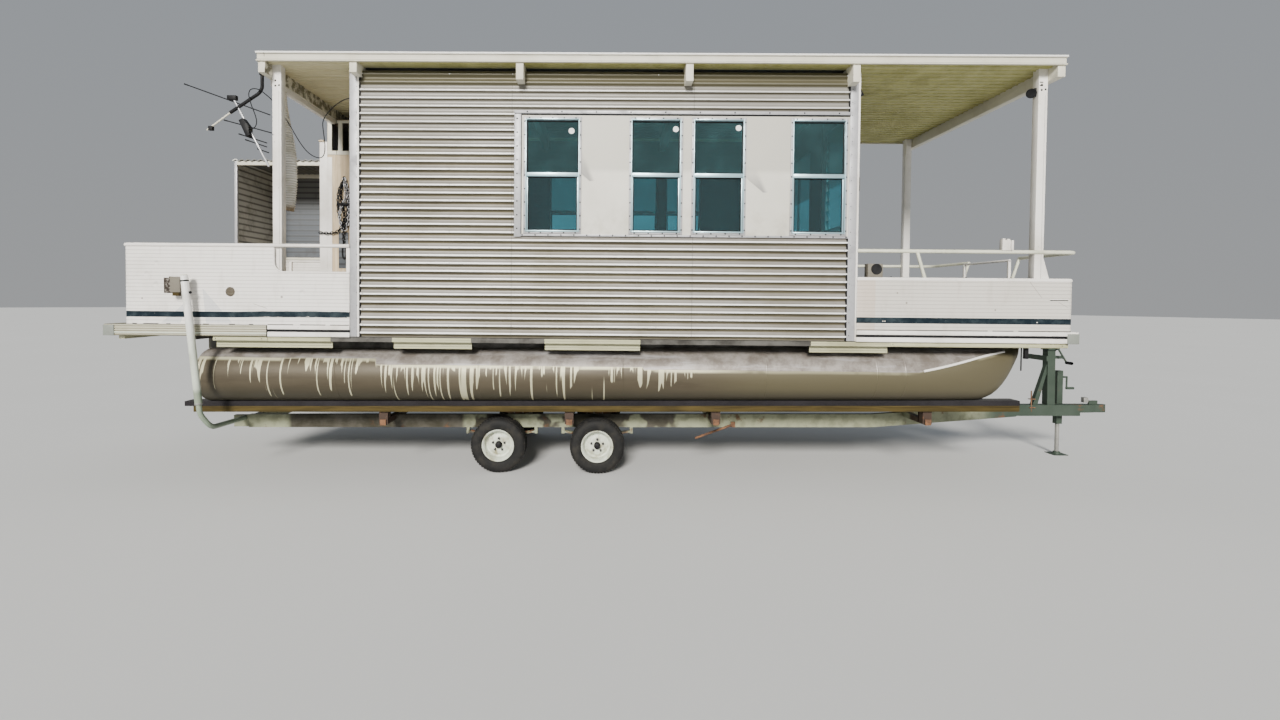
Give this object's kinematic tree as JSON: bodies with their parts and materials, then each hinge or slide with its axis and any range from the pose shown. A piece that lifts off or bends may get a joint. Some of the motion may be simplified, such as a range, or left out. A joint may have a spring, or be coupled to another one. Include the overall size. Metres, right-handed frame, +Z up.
{
  "type": "pontoon houseboat on a trailer",
  "caption": "Weathered pontoon houseboat with corrugated cabin walls, roofed porches and white railings, parked on its tandem-axle bunk trailer.",
  "frame": {"origin": "on the ground, midway along and across the whole of boat and trailer", "axes": "+X towards the bow and the coupler, +Y to port, +Z up"},
  "size_m": [9.6672, 2.728, 3.692],
  "materials": {
    "white_paint": "satin",
    "cream_paint": "satin",
    "siding": "satin",
    "pontoon_aluminium": "matte",
    "trim_aluminium": "satin",
    "deck_carpet": "matte",
    "window_glass": "gloss",
    "plywood": "matte",
    "trailer_paint": "matte",
    "rusty_steel": "matte",
    "tyre_rubber": "matte",
    "rim_paint": "satin",
    "black_plastic": "matte",
    "hose_plastic": "matte",
    "webbing": "matte",
    "bunk_carpet": "matte"
  },
  "bodies": {
    "boat_on_trailer": {"underframe": "pontoon_aluminium", "pontoon_starboard": "pontoon_aluminium", "pontoon_port": "pontoon_aluminium", "deck_floor": "deck_carpet", "edge_trim_aft": "trim_aluminium", "edge_trim_fore": "trim_aluminium", "window_band_starboard": "trim_aluminium", "window_band_port": "trim_aluminium", "cabin_wall_aft": "trim_aluminium", "cabin_wall_fore": "trim_aluminium", "cabin_wall_starboard": "siding", "cabin_wall_port": "siding", "lean_to": "siding", "window_glass_starboard_1": "window_glass", "window_glass_starboard_2": "window_glass", "window_glass_starboard_3": "window_glass", "window_glass_starboard_4": "window_glass", "window_glass_port_1": "window_glass", "window_glass_port_2": "window_glass", "window_glass_port_3": "window_glass", "window_glass_fore": "window_glass", "roof": "white_paint", "post_aft_starboard": "white_paint", "post_aft_port": "white_paint", "post_fore_starboard": "white_paint", "post_fore_port": "white_paint", "fence_aft_starboard": "white_paint", "fence_aft_port": "white_paint", "fence_fore_starboard": "white_paint", "fence_fore_port": "white_paint", "guide_pole_starboard": "white_paint", "guide_pole_port": "white_paint", "closet": "plywood", "closet_vent": "cream_paint", "duct": "hose_plastic", "coax": "black_plastic", "aerial": "black_plastic", "winch_strap": "webbing", "tongue_jack": "trailer_paint", "trailer_frame": "trailer_paint", "trailer_tongue": "trailer_paint", "coupler": "trailer_paint", "winch_stand": "trailer_paint", "axle_rear": "rusty_steel", "axle_front": "rusty_steel", "bunk_starboard": "bunk_carpet", "bunk_port": "bunk_carpet"},
    "fore_door": {"door_fore": "white_paint"},
    "aft_door": {"door_aft": "white_paint"},
    "bow_gate": {"gate_bow": "white_paint"},
    "stern_gate": {"gate_stern": "white_paint"},
    "jack_foot": {"jack_leg": "trailer_paint"},
    "wheel_rear_starboard": {"tyre_rear_starboard": "tyre_rubber", "rim_rear_starboard": "rim_paint"},
    "wheel_rear_port": {"tyre_rear_port": "tyre_rubber", "rim_rear_port": "rim_paint"},
    "wheel_front_starboard": {"tyre_front_starboard": "tyre_rubber", "rim_front_starboard": "rim_paint"},
    "wheel_front_port": {"tyre_front_port": "tyre_rubber", "rim_front_port": "rim_paint"}
  },
  "joints": [
    {"name": "wheel_rear_starboard_spin", "type": "hinge", "parent": "boat_on_trailer", "child": "wheel_rear_starboard", "pos_m": [-1.457, -0.795, 0.256], "axis": [0, 1, 0], "continuous": true},
    {"name": "wheel_rear_port_spin", "type": "hinge", "parent": "boat_on_trailer", "child": "wheel_rear_port", "pos_m": [-1.457, 0.795, 0.256], "axis": [0, 1, 0], "continuous": true},
    {"name": "wheel_front_starboard_spin", "type": "hinge", "parent": "boat_on_trailer", "child": "wheel_front_starboard", "pos_m": [-0.535, -0.795, 0.256], "axis": [0, 1, 0], "continuous": true},
    {"name": "wheel_front_port_spin", "type": "hinge", "parent": "boat_on_trailer", "child": "wheel_front_port", "pos_m": [-0.535, 0.795, 0.256], "axis": [0, 1, 0], "continuous": true},
    {"name": "fore_door_hinge", "type": "hinge", "parent": "boat_on_trailer", "child": "fore_door", "pos_m": [1.699, -0.423, 2.4], "axis": [0, 0, 1], "range_deg": [0, 110]},
    {"name": "aft_door_hinge", "type": "hinge", "parent": "boat_on_trailer", "child": "aft_door", "pos_m": [-2.696, -0.063, 2.4], "axis": [0, 0, 1], "range_deg": [-90, 0]},
    {"name": "bow_gate_hinge", "type": "hinge", "parent": "boat_on_trailer", "child": "bow_gate", "pos_m": [3.514, -0.399, 1.6], "axis": [0, 0, 1], "range_deg": [0, 90]},
    {"name": "stern_gate_hinge", "type": "hinge", "parent": "boat_on_trailer", "child": "stern_gate", "pos_m": [-4.626, -0.846, 1.6], "axis": [0, 0, 1], "range_deg": [-90, 0]},
    {"name": "jack_slide", "type": "slide", "parent": "boat_on_trailer", "child": "jack_foot", "axis": [0, 0, 1], "range_m": [0, 0.25]}
  ]
}
